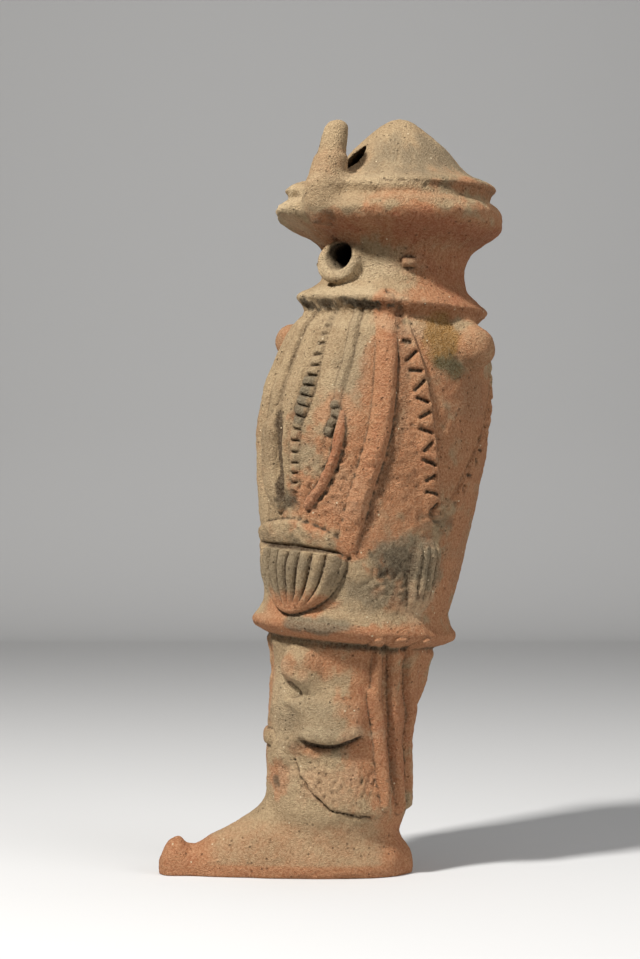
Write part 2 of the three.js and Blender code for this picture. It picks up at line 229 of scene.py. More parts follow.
def spline(points, step=0.4):
    """A smooth path through (angle, height) points, as angles and heights in mm about step mm apart."""
    knots = np.array(points, float) * (1, PERCENT)
    knots = np.vstack((2 * knots[0] - knots[1], knots, 2 * knots[-1] - knots[-2]))
    path = []
    for a, b, c, d in zip(knots, knots[1:], knots[2:], knots[3:]):
        across = radians(c[0] - b[0]) * float(body_radius(b[1] / PERCENT)) * PERCENT
        count = max(2, int(math.hypot(across, c[1] - b[1]) / step))
        t = np.linspace(0, 1, count, endpoint=False)[:, None]
        path.append(0.5 * (2 * b + (c - a) * t + (2 * a - 5 * b + 4 * c - d) * t**2
                           + (3 * b - a - 3 * c + d) * t**3))
    return np.vstack((*path, knots[-2:-1]))


class Trace:
    """What the map's cells near a path know: near, their distance to it; at, how far along it their nearest
    point is; and side, the distance again, positive to the right of a path that goes down."""

    def __init__(self, points, reach):
        path = spline(points)
        radius = np.interp(path[:, 1], ROWS, ROW_RADIUS)
        steps = np.diff(path, axis=0)
        steps[:, 0] = radians(steps[:, 0]) * radius[:-1]
        lengths = np.hypot(*steps.T)
        ways = steps / np.maximum(lengths, 1e-6)[:, None]
        ways = np.vstack((ways, ways[-1:]))
        self.near = np.full((len(ROWS), len(COLUMNS)), 1e3, np.float32)
        self.at = np.zeros_like(self.near)
        self.side = np.full_like(self.near, 1e3)
        self.length = float(lengths.sum())
        for (angle, z), way, at, r in zip(path, ways, np.append(0, np.cumsum(lengths)), radius):
            wide = math.degrees(reach / max(r, 5))
            top = int(np.searchsorted(ROWS, z - reach)), int(np.searchsorted(ROWS, z + reach))
            left = int((angle - wide + 180) / COLUMN_STEP), int((angle + wide + 180) / COLUMN_STEP)
            window = slice(max(top[0], 0), top[1]), slice(max(left[0], 0), left[1])
            v = (ROWS[window[0]] - z)[:, None]
            u = radians(COLUMNS[window[1]] - angle)[None] * ROW_RADIUS[window[0]][:, None]
            distance = np.hypot(u, v)
            closer = distance < self.near[window]
            self.near[window][closer] = distance[closer]
            self.at[window][closer] = at
            self.side[window][closer] = (np.sign(way[0] * v - way[1] * u) * distance)[closer]
        self.share = self.at / max(self.length, 1e-6)


def noise_map(size, seed):
    """Soft noise from -1 to 1 over the relief map, with bumps about size mm wide."""
    random = np.random.RandomState(seed)
    down = ROWS / size
    round_ = radians(COLUMNS + 180) * 48 / size
    lattice = random.uniform(-1, 1, (int(down[-1]) + 2, int(round_[-1]) + 2))
    lattice[:, -1] = lattice[:, 0]
    i, j = down.astype(int), round_.astype(int)
    s, t = down - i, round_ - j
    s, t = (s * s * (3 - 2 * s))[:, None], (t * t * (3 - 2 * t))[None]
    upper = lattice[i][:, j] * (1 - t) + lattice[i][:, j + 1] * t
    lower = lattice[i + 1][:, j] * (1 - t) + lattice[i + 1][:, j + 1] * t
    return (upper * (1 - s) + lower * s).astype(np.float32)


def ramp(x, start, end):
    """0 before start, 1 after end, and smooth between."""
    t = np.clip((x - start) / (end - start), 0, 1)
    return t * t * (3 - 2 * t)


def bell(x, width):
    return np.exp(-((x / width) ** 2))


def merge(a, b, blend):
    """The higher of two surfaces, with their meeting rounded over blend mm."""
    t = np.clip(0.5 + (a - b) / (2 * blend), 0, 1)
    return b + (a - b) * t + blend * t * (1 - t)


def taper(trace, ends):
    """1 along a path, falling towards its two ends to the shares in ends."""
    ways = (trace.share, 1 - trace.share)
    first, last = (share + (1 - share) * ramp(at, 0, 0.2) for share, at in zip(ends, ways))
    return first * last


def coil(relief, points, width, height, creases=(0.8, 0.8), ends=(1.0, 1.0)):
    """A rolled coil pressed on, with a crease at its left and right, going down. Its ends are thinner."""
    trace = Trace(points, width)
    thin = taper(trace, ends)
    half = width / 2 * np.maximum(thin, 0.3)
    shape = height * thin * np.sqrt(np.clip(1 - (trace.near / half) ** 2, 0, 1))
    crease = np.where(trace.side > 0, creases[1], creases[0]) * thin
    return merge(relief - crease * bell(trace.near - half - 0.2, 0.8), shape, 0.4)


def ridge(relief, points, left, right, height, ends=(1.0, 1.0)):
    """A rib that falls away over other widths at its left and right."""
    trace = Trace(points, max(left, right) + 1)
    reach = trace.side / np.where(trace.side > 0, right, left)
    shape = height * taper(trace, ends) * np.clip(1 - reach * reach, 0, 1) ** 0.7
    return merge(relief, shape, 0.4)


def groove(relief, points, width, depth, ends=(1.0, 1.0)):
    trace = Trace(points, width * 2)
    return relief - depth * taper(trace, ends) * bell(trace.near, width / 2)


def beads(relief, points, width, height, cut, count, swell):
    """A flat strip cut across into beads. count gives how many come before a share of its length, and swell
    its width there."""
    trace = Trace(points, width)
    half = width / 2 * swell(trace.share)
    strip = height * swell(trace.share) * np.sqrt(np.clip(1 - (trace.near / half) ** 4, 0, 1))
    turn = count(trace.share)
    pitch = trace.length / np.maximum(np.gradient(count(np.linspace(0, 1, 200)), 1 / 199), 1)
    phase = np.abs(turn - np.round(turn)) * np.interp(trace.share, np.linspace(0, 1, 200), pitch)
    slit = cut * bell(phase, 0.55) * ramp(trace.near, half * 1.05, half * 0.75)
    return merge(relief - 0.5 * bell(trace.near - half, 0.6), strip, 0.3) - slit


def notched_band(relief, points, width, height, pitch, length, outer):
    """A flat band whose edge follows the path and drops steeply there, and fades out at the other side.

    Wedges are cut in from its edge, slanting to and fro."""
    trace = Trace(points, width + 3)
    side = -trace.side * outer
    start = 0.4 + 0.6 * ramp(trace.share, 0, 0.2)
    rise = height * start * ramp(side, -0.9, 0.5) * ramp(side, width, width * 0.35)
    turn = np.round(trace.at / pitch)
    slant = np.where(turn % 2, 0.5, -0.5) * (0.7 + 0.6 * np.sin(turn * 2.3) ** 2)
    from_middle, along = side - length / 2 - 0.2, trace.at - turn * pitch
    across = along * np.cos(slant) - from_middle * np.sin(slant)
    reach = np.hypot(from_middle, along)
    long = length / 2 * (0.5 + 0.5 * ramp(trace.share, 0, 0.3)) * (0.85 + 0.3 * np.sin(turn * 1.7) ** 2)
    slit = 3.0 * start * bell(across, 0.85) * ramp(reach, long + 0.5, long - 0.7)
    step = 0.9 * start * bell(side + 1.4, 1.0)
    return merge(relief - step, np.where(rise > 0, rise, -9), 0.3) - slit


def fold(relief, points, height, above, undercut):
    """A lip of clay that swells over a path and drops sharply below it. The path goes to the right."""
    trace = Trace(points, above + 4)
    up = trace.side
    thin = ramp(trace.share, 0, 0.2) * ramp(1 - trace.share, 0, 0.2)
    swell = height * np.where(up > 0, ramp(up, above, 0), bell(up, 0.9))
    return relief + thin * (swell - undercut * bell(up + 2.0, 1.3)) * (trace.near < above + 4)


def lump(angle, height, width, tall, out, square=2.0):
    """A flattened ball over the map, out mm high, or a hollow where out is negative."""
    u = radians(COLUMNS - angle)[None] * body_radius(height) * PERCENT / (width / 2)
    v = ((ROWS / PERCENT - height) * PERCENT / (tall / 2))[:, None]
    return out * np.sqrt(np.clip(1 - np.abs(u) ** square - np.abs(v) ** square, 0, 1)).astype(np.float32)


def soft_spot(angle, height, width, tall):
    """1 at a spot on the map, falling to 0 at its rim."""
    u = radians((COLUMNS - angle + 180) % 360 - 180)[None] * body_radius(height) * PERCENT / (width / 2)
    v = ((ROWS / PERCENT - height) * PERCENT / (tall / 2))[:, None]
    return ramp(np.hypot(u, v), 1.0, 0.25).astype(np.float32)


def pouch(relief, angle=-1, top=42.4, bottom=34, width=52, out=8.4, lobes=8, groove_depth=4.6):
    """A fluted bag that hangs from its flat top, with its flutes meeting below."""
    down = np.clip((top - ROWS / PERCENT) / (top - bottom), 0, 1)[:, None]
    outline = np.maximum(0.004, 1 - down**2) ** 0.6
    across = radians(COLUMNS - angle)[None] * ROW_RADIUS[:, None] / (width / 2 * outline)
    dome = np.sqrt(np.clip(1 - np.abs(across) ** 3, 0, 1)) * np.sqrt(outline) * (down < 1)
    place = (across * lobes / 2 + 0.35 * np.sin(across * 2.2)) % 1 * 2 - 1
    flute = 1 - np.sqrt(1 - 0.97 * place * place)
    full = (out * (0.8 + 0.2 * ramp(down, 0, 0.35)) - groove_depth * flute * ramp(down, 1.02, 0.6)) * dome
    full *= ramp(top - ROWS / PERCENT, 0, 0.25)[:, None]
    rim = 1.2 * bell(np.clip(np.abs(across), 0, 4) - 1.04, 0.05) * ramp(top - ROWS / PERCENT, 0, 0.5)[:, None]
    return np.where(full > 0, np.maximum(full, relief), relief - rim * (down < 0.98))


def tassel(relief, points, width=15.5, out=4.0, strings=4, groove_depth=2.0):
    """Strings of clay that hang side by side."""
    trace = Trace(points, width)
    half = width / 2 * (0.8 + 0.2 * ramp(trace.share, 0, 0.4) - 0.35 * ramp(trace.share, 0.6, 1))
    across = np.clip(trace.side / half, -1, 1)
    place = (across * strings / 2) % 1 * 2 - 1
    flute = 1 - np.sqrt(1 - 0.95 * place * place)
    ends = ramp(trace.share, 0, 0.3) * ramp(trace.share, 1, 0.8)
    full = (out - groove_depth * flute * ramp(trace.share, 0.05, 0.2)) * ends
    return merge(relief, full * np.sqrt(np.clip(1 - across**4, 0, 1)), 0.4)


def mirrored(points):
    return tuple((-angle, height) for angle, height in points)


def carve_side(relief, side):
    """The clay on the figure's left side, or its right side for side -1."""
    turned = (lambda points: points) if side > 0 else mirrored
    widths = (7, 3.8) if side > 0 else (3.8, 7)
    relief = groove(relief, turned(CURTAIN_GROOVE), 4.6, 2.2, (0.9, 0.4))
    relief = ridge(relief, turned(CURTAIN_RIDGE), *widths, 4.0, (0.7, 0.6))
    relief = notched_band(relief, turned(FRONT_BAND), 11, 2.4, 6.9, 7, side)
    relief = notched_band(relief, turned(BACK_BAND), 10, 2.2, 6.9, 6.2, side)
    relief = tassel(relief, turned(((77.5, 46), (79.5, 42.5), (80.5, 39), (80.5, 35.2))))
    for width, line in STRANDS:
        relief = coil(relief, turned(line), width, 3.8, (0.4, 0.4), (1, 0.8))
    for line in STRAND_GROOVES:
        relief = groove(relief, turned(line), 3.2, 3.4, (1, 0.8))
    eye = Trace(((52 * side - 7, 80.2), (52 * side + 7, 80.3)), 8)
    ball = 3.6 * np.sqrt(np.clip(1 - (eye.near / 2.4) ** 2, 0, 1)) * ramp(np.abs(eye.share - 0.5), 0.46, 0.3)
    lids = 2.6 * bell(np.abs(eye.side) - 2.7, 0.8) * (eye.near < 5) * ramp(np.abs(eye.share - 0.5), 0.5, 0.4)
    return merge(relief, ball, 0.3) - lids


def carve():
    """The whole relief map."""
    relief = np.zeros((len(ROWS), len(COLUMNS)), np.float32)
    swellings = (
        (-12, 88.8, 70, 28, 2.8), (-30, 90.6, 22, 12, 2.2), (-26, 88.8, 40, 22, 2.4), (12, 86.6, 20, 10, 1.4),
        (40, 89, 100, 14, 1.8), (22, 21, 66, 36, 3.8), (-28, 26, 16, 56, 1.2), (-2, 91, 24, 14, 1.4),
        (36, 12.5, 60, 26, 0.8), (1, 27, 29, 24, 7.4), (9, 25.2, 26, 12, 2.2), (104, 26, 60, 50, 2.4),
    )
    hollows = (
        (11, 87, 56, 26, 8.6), (-22, 88.6, 12, 8, 1.4), (-9, 90.8, 12, 6, 1.4), (-3, 24.6, 16, 13, 4.4),
        (-9, 20.2, 28, 19, 5.2), (33, 16.4, 34, 12, 3.0), (-17, 12.9, 16, 14, 3.4), (-20, 23.6, 10, 26, 1.2),
        (30, 27, 40, 18, 1.4),
    )
    for sign, places in ((1, swellings), (-1, hollows)):
        for angle, height, width, tall, deep in places:
            relief = relief + sign * deep * soft_spot(angle, height, width, tall)
    uneven = 0.85 + 0.4 * noise_map(5, 8)
    for place in ((-9, 16.3, 22, 13, 2.6), (-33, 90.6, 11, 7, 1.6)):
        relief = relief + lump(*place) * uneven
    relief = carve_side(carve_side(relief, 1), -1)
    relief = groove(relief, LEDGE_GROOVE, 3.0, 0.6, (0.0, 0.2))
    relief = ridge(relief, LEDGE_RIDGE, 3, 3, 1.8, (0.1, 0.2))
    relief = groove(relief, PANEL_GROOVE, 3.0, 3.0, (0.8, 1))
    relief = coil(relief, FRAME_TOP, 8, 3.0, (0.2, 1.6), (0.7, 0.7))
    relief = coil(relief, FRAME_COIL, 11.6, 5.0, (1.0, 3.0), (0.4, 0.6))
    relief = coil(relief, GREY_RIDGE, 4.4, 2.2, (0.4, 1.0), (0.8, 0.7))
    relief = ridge(relief, THIN_STRIP, 2.6, 2.0, 1.6, (0.7, 0.6))
    relief = ridge(relief, SPLIT_RIDGE, 1.8, 2.0, 1.1, (0.9, 0.5))
    relief = coil(relief, BENT_COIL, 4.8, 3.2, (0.9, 1.8), (0.8, 1))
    relief = groove(relief, PANEL_SEAM, 2.6, 0.9, (0.3, 0.5))
    count = smooth(((0, 0), (0.16, 4), (0.33, 7), (0.49, 10), (0.6, 12), (0.67, 13), (0.9, 17), (1, 19)))
    swell = smooth(((0, 0.35), (0.15, 0.6), (0.3, 0.75), (0.45, 1.05), (0.56, 1), (0.64, 0.72), (1, 0.7)))
    relief = beads(relief, BEAD_LINE, 7.2, 2.8, 3.2, count, swell)
    grey_count = smooth(((0, 0.5), (1, 3.5)))
    grey_swell = smooth(((0, 1), (1, 0.8)))
    relief = beads(relief, GREY_BEADS, 4.6, 2.6, 1.6, grey_count, grey_swell)
    relief = ridge(relief, LID_EDGE, 16, 2.6, 3.6, (0.6, 0.4))
    relief = pouch(relief)
    relief = groove(relief, LID_CREASE, 1.6, 1.5, (1, 0.6))
    relief = coil(relief, GARTER_LINE, 7, 2.2, (0.3, 1.0), (0.8, 0.2))
    relief = fold(relief, LOWER_FOLD, 2.4, 12, 3.2)
    crack = Trace(CRACK, 14)
    torn = 0.7 * noise_map(2.6, 5) + 0.5 * noise_map(1.2, 6)
    relief = relief + ramp(crack.side, -0.3, 1.2) * ramp(crack.near, 13, 3) * ramp(crack.share, 0.05, 0.3)
    relief = relief - 2.6 * bell(crack.near + torn, 0.6) * (0.4 + 0.6 * ramp(torn, -0.4, 0.3))
    reach = 9
    belt = Trace(BELT, reach)
    thick = 0.85 + 0.3 * noise_map(26, 9)
    slope = np.where(belt.side > 0, ramp(belt.side, 6, 0), bell(belt.side, 1.5))
    relief = relief + 1.6 * thick * slope * (belt.near < reach)
    relief = relief - 2.2 * bell(belt.side + 4.6, 1.7) * (belt.near < reach)
    return relief + rough_places()


# Crumbly clay: (strength, (angle, height, width, tall)).
CRUMBLY = (
    (1.5, (-20, 73.6, 60, 8)), (1.2, (10, 73.7, 60, 8)), (0.6, (70, 90, 110, 6)),
    (1.2, (-2, 45, 70, 16)), (0.5, (-20, 87.5, 50, 14)), (1.3, (40, 12.5, 90, 26)),
    (0.6, (75, 47, 30, 18)), (0.7, (-25, 12.4, 30, 14)), (1.4, (20, 51, 70, 60)),
    (0.6, (60, 56, 60, 60)), (0.6, (100, 48, 50, 30)), (0.7, (60, 39, 50, 30)),
    (0.6, (10, 16, 60, 26)), (0.7, (-10, 79, 40, 14)),
)


def rough_places():
    """Crumbly clay: under the collar, along the cap's ledge, on the body, over the pouch and at the ankle."""
    crumbs = noise_map(2.2, 11) * 0.6 + noise_map(1.2, 12) * 0.4
    weight = sum(strength * soft_spot(*spot) for strength, spot in CRUMBLY)
    return crumbs * (np.clip(weight, 0, 1.5) * 0.7 + 0.2)


def read_map(values, angle, height):
    """A map's values at angles and heights."""
    row = np.clip(height * PERCENT / ROW_STEP, 0, len(ROWS) - 1.001)
    column = ((angle + 180) % 360) / COLUMN_STEP
    i, j = row.astype(int), column.astype(int) % len(COLUMNS)
    s, t = row - i, column - column.astype(int)
    k = (j + 1) % len(COLUMNS)
    upper = values[i, j] * (1 - t) + values[i, k] * t
    lower = values[i + 1, j] * (1 - t) + values[i + 1, k] * t
    return upper * (1 - s) + lower * s


# Fields: negative inside the clay, positive outside, about a millimetre for a millimetre.
def join(a, b, blend):
    """The union of two fields, with wet clay smoothed into their meeting."""
    return -merge(-a, -b, blend)


def body_field(relief, x, y, z):
    angle, height, radius = unwrap(x, y, z)
    bare = radius - skin_radius(angle, height)
    close = np.abs(bare) < 12
    bare[close] -= read_map(relief, angle[close], height[close])
    slope = (body_radius(height + 0.1) - body_radius(height - 0.1)) / 0.2
    steep = 1 / np.sqrt(1 + np.minimum(slope * slope, 6))
    return np.maximum(bare * steep, np.maximum(z - HEIGHT, 2 - z))


def foot_field(x, y, z):
    way = outward(FOOT_ANGLE)
    along = (x * way[0] + y * way[1]) / PERCENT
    across = np.abs(y * way[0] - x * way[1])
    half, top = foot_half(along) * PERCENT, foot_top(along) * PERCENT
    edge = np.minimum(SOLE_EDGE, top / 2)
    under = np.clip(1 - z / edge, 0, 1)
    ball = np.hypot(across / (half * (1 - 0.06 * under**2)), np.maximum(z - edge, 0) / (top - edge))
    ends = np.maximum(FOOT_HALF[0][0] - along, along - FOOT_HALF[-1][0]) * PERCENT
    return np.maximum(np.maximum((ball - 1) * np.minimum(half, top - edge), ends), -z)


def rod_field(x, y, z, start, end, thick, thin):
    """A round rod between two points, from thick to thin."""
    way = end - start
    px, py, pz = x - start[0], y - start[1], z - start[2]
    t = np.clip((px * way[0] + py * way[1] + pz * way[2]) / float(way @ way), 0, 1)
    away = np.sqrt((px - t * way[0]) ** 2 + (py - t * way[1]) ** 2 + (pz - t * way[2]) ** 2)
    return away - (thick + (thin - thick) * t)


# The knobs at the shoulders: (angle, height, lift of the ball's middle, arm's thick and thin ends, ball).
KNOBS = ((96, 70.2, 1.2, 13, 8.6, 10), (-76, 69.8, 6.6, 11, 7, 8.2))
PEG = (
    (85, 3), (87.5, 8.4), (90, 9.4), (92, 8.4), (93.6, 7.6), (94.4, 6.4), (96, 5.8), (97.5, 5.1), (98.4, 4.2),
)
PEG_ANGLE = -4
PEG_OUT = 43.5
PEG_LEAN = 0.25
MOUTH = {
    "half": 5.0, "tall": 5.4, "lip": 4.4, "out": 6.4, "depth": 28, "at": 80.9, "turned": 0.34, "tipped": 0.2,
}
VENT = {"half": 5.6, "tall": 5.8, "depth": 12, "at": 94.3, "angle": -14}
peg_radius = smooth(PEG)


def front_of(at, angle, x, y, z):
    """Coordinates across, up and out from the body's middle at a height, towards an angle."""
    middle = LEAN_WAY * body_lean(at) * PERCENT
    way, px, py = outward(angle), x - middle[0], y - middle[1]
    return py * way[0] - px * way[1], z - at * PERCENT, px * way[0] + py * way[1]


def peg_field(x, y, z):
    across, up, out = front_of(VENT["at"], PEG_ANGLE, x, y, z)
    out = out - PEG_OUT + PEG_LEAN * up
    height = z / PERCENT
    round_ = np.hypot(across, out) - peg_radius(height)
    return merge(np.maximum(round_, PEG[0][0] * PERCENT - z), z - PEG[-1][0] * PERCENT - 1, 4)


def mouth_fields(x, y, z):
    """The mouth's spout, the bore into it, and how far points are past the spout's face."""
    across, up, out = front_of(MOUTH["at"], 0, x, y, z)
    half, tall, lip = MOUTH["half"], MOUTH["tall"], MOUTH["lip"]
    front = float(body_radius(MOUTH["at"])) * PERCENT + MOUTH["out"]
    plane = out - front + MOUTH["turned"] * across + MOUTH["tipped"] * up
    rim = (np.hypot((across + 1.4) / (half + lip), (up + 1.4) / (tall + lip)) - 1) * (tall + lip)
    spout = np.maximum(merge(rim, plane, 3.4), 10 - out)
    flare = 1 + 0.14 * ramp(plane, -3, 0)
    bore = (np.hypot((across + 0.3) / half, (up - 0.8) / tall) / flare - 1) * tall
    return spout, np.maximum(bore, front - MOUTH["depth"] - out), plane


def hollows_at(x, y, z):
    """For the mouth and the vent, how near points are to its wall and how far in they are."""
    _, bore, plane = mouth_fields(x, y, z)
    angle, height, radius = unwrap(x, y, z)
    return (bore, 2 - plane), (vent_field(x, y, z), skin_radius(angle, height) - radius)


def vent_field(x, y, z):
    across, up, out = front_of(VENT["at"], VENT["angle"], x, y, z)
    radius = float(body_radius(VENT["at"])) * PERCENT
    half = VENT["half"] * (1 - 0.08 * np.clip(up, -6, 6))
    hole = (np.hypot((across - 0.25 * up) / half, up / VENT["tall"]) - 1) * VENT["half"]
    return np.maximum(hole, np.maximum(radius - VENT["depth"] - out, out - radius - 8))


def figure_field(relief, x, y, z):
    """The whole figure's field."""
    field = join(body_field(relief, x, y, z), foot_field(x, y, z), 5)
    for angle, height, lift, thick, thin, ball in KNOBS:
        start, end = skin(angle, height + 1.2, -8), skin(angle, height, lift)
        field = join(field, rod_field(x, y, z, start, end, thick, thin), 4)
        field = join(field, rod_field(x, y, z, end - 0.1, end, ball, ball), 1.6)
    field = join(field, peg_field(x, y, z), 4)
    spout, bore, _ = mouth_fields(x, y, z)
    field = join(field, spout, 2.5)
    field = merge(field, -bore, 1.2)
    return np.maximum(merge(field, -vent_field(x, y, z), 0.8), -z)


def model(relief, cell):
    """The figure's surface, as points in mm and four-sided faces."""
    low = np.array(CAD_BOX[0]) / MM - 5
    high = np.array(CAD_BOX[1]) / MM + 5
    block = 4
    counts = np.ceil((high - low) / (cell * block)).astype(int)
    middles = [a + (np.arange(n) * block + (block - 1) / 2) * cell for a, n in zip(low, counts)]
    grid = np.meshgrid(*middles, indexing="ij")
    coarse = figure_field(relief, *(axis.ravel() for axis in grid)).reshape(counts)
    limit = 3 * cell
    close = np.abs(coarse) < limit + block * cell + 1.5
    field = np.empty(counts * block, np.float32)
    field[:] = np.where(coarse < 0, -limit, limit).repeat(block, 0).repeat(block, 1).repeat(block, 2)

    def fill(layer):
        part = field[:, :, layer * block:(layer + 1) * block]
        cells = np.nonzero(close[:, :, layer, None].repeat(block, 0).repeat(block, 1).repeat(block, 2))
        below = (0, 0, layer * block)
        x, y, z = (start + (axis + more) * cell for start, axis, more in zip(low, cells, below))
        if len(x):
            part[cells] = np.clip(figure_field(relief, x, y, z), -limit, limit)

    with ThreadPoolExecutor() as pool:
        list(pool.map(fill, range(counts[2])))
    volume = openvdb.FloatGrid(limit)
    volume.copyFromArray(field)
    points, faces = volume.convertToQuads(0.0)
    return points * cell + low, faces


def new_object(name, points, faces):
    mesh = bpy.data.meshes.new(name)
    mesh.from_pydata(points, [], faces)
    mesh.validate()
    made = bpy.data.objects.new(name, mesh)
    bpy.context.scene.collection.objects.link(made)
    return made


def face_outwards(obj):
    """Turns every face of a closed mesh outwards."""
    mesh = obj.data
    corners = np.empty(len(mesh.loops), np.int32)
    mesh.loops.foreach_get("vertex_index", corners)
    spots = np.empty(len(mesh.vertices) * 3)
    mesh.vertices.foreach_get("co", spots)
    a, b, c = (spots.reshape(-1, 3)[corners.reshape(-1, 4)[:, k]] for k in (0, 1, 2))
    if np.einsum("ij,ij->i", a, np.cross(b, c)).sum() < 0:
        mesh.flip_normals()


def add(tree, kind, settings=None, **inputs):
    """Adds a node with its settings, and sets or links its inputs, named by identifier or name."""
    node = tree.nodes.new(kind)
    for name, value in (settings or {}).items():
        setattr(node, name, value)
    for name, value in inputs.items():
        found = [s for s in node.inputs if s.identifier == name] or [
            s for s in node.inputs if s.name.replace(" ", "_") == name and s.enabled
        ]
        if isinstance(value, bpy.types.NodeSocket):
            tree.links.new(value, found[0])
        else:
            found[0].default_value = value
    return node


FLAT_SOLE = 1.5


def hand_work_tree():
    """Unevenness from the maker's hands, and the clay's own grit, as moves along the surface's normal."""
    tree = bpy.data.node_groups.new("hand_worked_clay", "GeometryNodeTree")
    tree.interface.new_socket("Geometry", in_out="INPUT", socket_type="NodeSocketGeometry")
    for name in ("Dent Size", "Dent Depth", "Grit Size", "Grit Height"):
        tree.interface.new_socket(name, in_out="INPUT", socket_type="NodeSocketFloat")
    tree.interface.new_socket("Material", in_out="INPUT", socket_type="NodeSocketMaterial")
    tree.interface.new_socket("Geometry", in_out="OUTPUT", socket_type="NodeSocketGeometry")
    given = tree.nodes.new("NodeGroupInput").outputs
    place = add(tree, "GeometryNodeInputPosition").outputs[0]
    normal = add(tree, "GeometryNodeInputNormal").outputs[0]
    total = None
    for size, depth, detail in (("Dent Size", "Dent Depth", 3.0), ("Grit Size", "Grit Height", 1.0)):
        scale = add(tree, "ShaderNodeMath", {"operation": "DIVIDE"}, Value=1.0)
        tree.links.new(given[size], scale.inputs[1])
        noise = add(tree, "ShaderNodeTexNoise", Vector=place, Scale=scale.outputs[0], Detail=detail)
        centred = add(tree, "ShaderNodeMath", {"operation": "SUBTRACT"}, Value=noise.outputs[0])
        centred.inputs[1].default_value = 0.5
        moved = add(tree, "ShaderNodeMath", {"operation": "MULTIPLY"}, Value=centred.outputs[0])
        tree.links.new(given[depth], moved.inputs[1])
        if total is None:
            total = moved.outputs[0]
        else:
            both = add(tree, "ShaderNodeMath", {"operation": "ADD"}, Value=total)
            tree.links.new(moved.outputs[0], both.inputs[1])
            total = both.outputs[0]
    offset = add(tree, "ShaderNodeVectorMath", {"operation": "SCALE"}, Vector=normal, Scale=total)
    on_floor = add(tree, "ShaderNodeSeparateXYZ", Vector=place).outputs[2]
    clear = add(tree, "FunctionNodeCompare", {"data_type": "FLOAT", "operation": "GREATER_THAN"},
                A=on_floor, B=FLAT_SOLE * MM)
    moved = add(tree, "GeometryNodeSetPosition", Geometry=given["Geometry"], Selection=clear.outputs[0],
                Offset=offset.outputs[0])
    whole = add(tree, "GeometryNodeRealizeInstances", Geometry=moved.outputs[0])
    clay = add(tree, "GeometryNodeSetMaterial", Geometry=whole.outputs[0], Material=given["Material"])
    smooth_faces = add(tree, "GeometryNodeSetShadeSmooth", Geometry=clay.outputs[0])
    result = tree.nodes.new("NodeGroupOutput")
    tree.links.new(smooth_faces.outputs[0], result.inputs[0])
    return tree


def set_inputs(modifier, values):
    """Sets a Geometry Nodes modifier's inputs, found by name, through their identifiers."""
    for item in modifier.node_group.interface.items_tree:
        if item.item_type == "SOCKET" and item.in_out == "INPUT" and item.name in values:
            modifier[item.identifier] = values[item.name]


def as_plain_mesh(obj):
    """Replaces an object's mesh with the result of its modifiers, and removes them."""
    result = bpy.data.meshes.new_from_object(obj.evaluated_get(bpy.context.evaluated_depsgraph_get()))
    obj.modifiers.clear()
    old, obj.data = obj.data, result
    bpy.data.meshes.remove(old)
    obj.data.name = obj.name


# Where the firing and the ground coloured the clay, and where painted shade and painted highlight go:
# (strength, angle, height, width in mm, height in mm).
ORANGE = (
    (0.3, -4, 91.4, 30, 14), (0.3, 0, 93, 20, 16), (0.5, 60, 88.4, 60, 8), (0.8, 115, 86.6, 90, 14),
    (0.7, 100, 90, 70, 8), (1.2, 90, 84.6, 260, 17), (1.1, 104, 79.6, 70, 32), (0.75, 52, 80.3, 12, 8),
    (0.9, 76, 76, 50, 12), (1.0, 100, 75, 110, 14), (0.8, 39, 62, 26, 90), (0.9, 34, 56, 50, 50),
    (1.0, 26, 49, 50, 34), (0.8, 58, 62, 40, 60), (0.9, 60, 52, 50, 60), (1.0, 105, 60, 90, 90),
    (0.7, -4, 59.4, 14, 6), (0.8, 40, 45, 34, 16), (1.0, -4, 35.2, 44, 14), (1.0, 80, 37.4, 20, 12),
    (1.0, 78, 45, 14, 12), (0.95, 112, 42, 80, 60), (0.9, 56, 32, 60, 9), (1.0, 95, 32.6, 80, 12),
    (0.8, -20, 31.6, 30, 8), (0.8, 42, 28.6, 50, 16), (0.6, -3, 27.4, 20, 14), (1.0, 66, 22, 18, 62),
    (1.05, 98, 20, 60, 90), (0.6, -50, 22, 26, 70), (1.1, -20, 12.8, 18, 15), (0.6, 24, 17, 22, 8),
    (0.5, 30, 12.4, 50, 20), (0.6, 180, 60, 160, 140), (0.5, 180, 88, 180, 40),
    (0.5, 180, 20, 110, 80), (0.45, -110, 50, 120, 120),
)
ASH = (
    (0.7, 40, 94.4, 34, 22), (0.9, 78, 94, 54, 24), (0.5, 50, 91.2, 70, 5), (0.4, 10, 87, 22, 10),
    (0.15, 14, 79, 30, 14), (0.2, 8, 76.4, 50, 9), (0.5, -26, 56, 20, 50), (0.6, 24, 66, 24, 34),
    (0.6, 2, 55, 22, 24), (0.95, -8, 40, 44, 26), (0.8, 26, 40, 18, 22), (1.15, 60, 42, 30, 24),
    (0.9, 52, 37.6, 50, 16), (0.8, 79, 41, 20, 18), (0.6, 74, 69, 20, 26), (0.5, 96, 64, 34, 24),
    (1.1, 20, 33, 34, 7), (0.6, 10, 21.5, 50, 26), (0.6, 48, 17, 12, 10), (0.4, -9, 16.5, 18, 12),
    (0.6, 92, 14, 8, 30), (0.4, -40, 45, 30, 30), (0.5, 150, 45, 80, 60), (0.5, -150, 70, 80, 60),
    (0.5, -120, 90, 90, 26), (0.4, 170, 94, 60, 30), (0.4, -140, 16, 70, 40),
)
